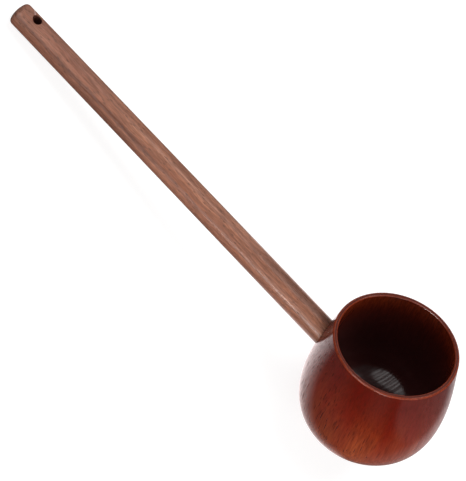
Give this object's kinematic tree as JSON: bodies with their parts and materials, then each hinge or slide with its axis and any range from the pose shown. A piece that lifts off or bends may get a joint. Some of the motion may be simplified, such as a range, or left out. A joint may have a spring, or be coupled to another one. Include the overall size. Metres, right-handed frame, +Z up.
{
  "type": "wooden ladle",
  "caption": "Long-handled wooden ladle: a deep turned and lacquered cup with a coped round handle of darker walnut-brown wood, glued in its wall, with a hanging hole near the butt.",
  "frame": {"origin": "middle of the bottom of the ladle's box, on the surface that it lies on", "axes": "+Z up from that surface, X along the ladle with the handle towards -X and the cup towards +X, XZ plane the ladle's plane of symmetry; the ladle lies at rest on the cup's heel and the butt's lower edge"},
  "size_m": [0.3684, 0.0932, 0.106],
  "materials": {
    "cup_lacquer": "gloss",
    "handle_wood": "satin"
  },
  "bodies": {
    "root": {"cup": "cup_lacquer", "handle": "handle_wood"}
  },
  "joints": []
}
